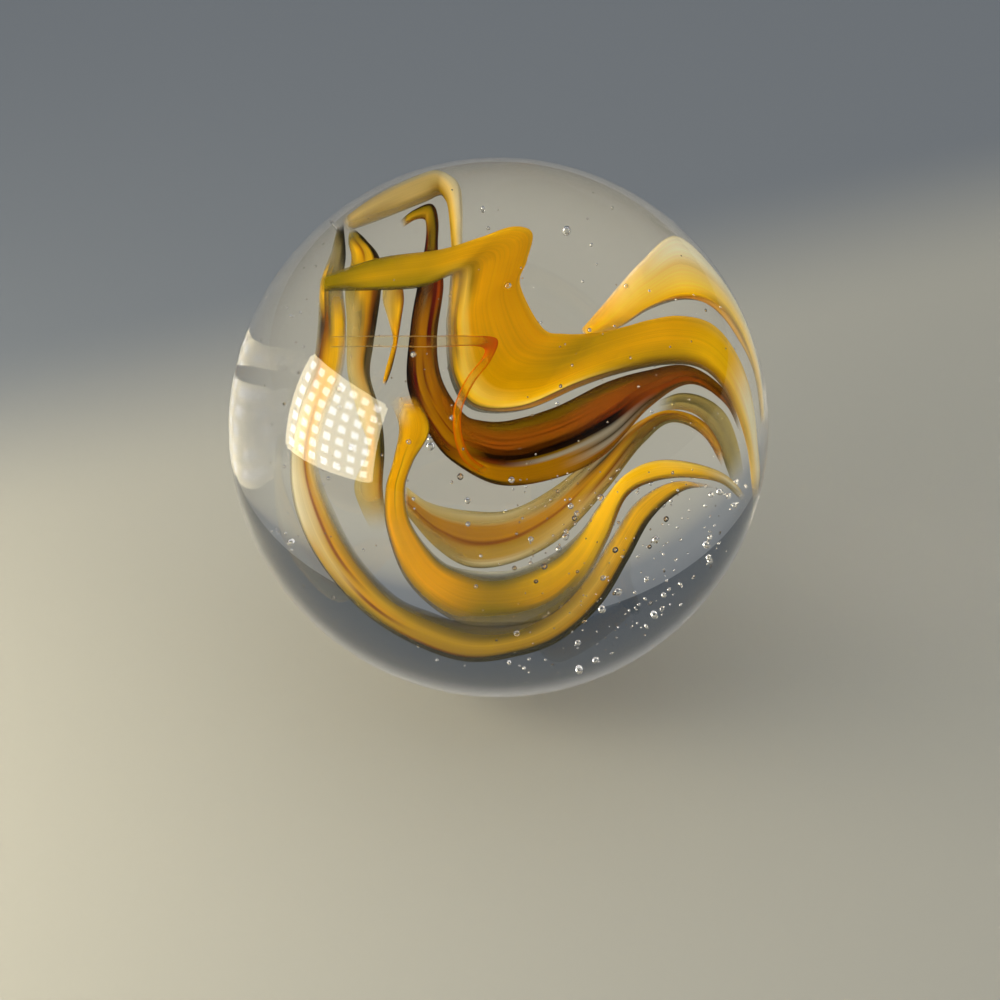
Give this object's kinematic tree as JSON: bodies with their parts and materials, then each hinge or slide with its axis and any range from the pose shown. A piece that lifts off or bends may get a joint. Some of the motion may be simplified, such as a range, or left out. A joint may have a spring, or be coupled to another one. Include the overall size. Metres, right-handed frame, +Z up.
{
  "type": "glass marble",
  "caption": "Clear glass play marble with folded ribbons of yellow, amber and honey-coloured glass swirled inside the ball.",
  "frame": {"origin": "centre of the ball", "axes": "+Z up when the marble lies as in the picture; the picture looks along +Y and down"},
  "size_m": [0.016, 0.016, 0.016],
  "materials": {
    "clear_glass": "clear, fire-polished, with seed bubbles",
    "yellow_glass": "opaque yellow to orange glass, streaked",
    "pale_yellow_glass": "pale yellow glass, slightly milky",
    "amber_glass": "brown see-through glass",
    "honey_glass": "honey-coloured glass, partly see-through"
  },
  "bodies": {
    "root": {"clear_body": "clear_glass", "main_yellow_ribbon": "yellow_glass", "twisted_yellow_ribbon": "yellow_glass", "base_yellow_ribbon": "yellow_glass", "rear_yellow_ribbon": "pale_yellow_glass", "top_loop_ribbon": "pale_yellow_glass", "amber_ribbon": "amber_glass", "inner_amber_ribbon": "honey_glass", "loop_strand": "honey_glass", "left_column_ribbon": "honey_glass", "column_wedge": "honey_glass", "right_arc_ribbon": "honey_glass"}
  },
  "joints": []
}
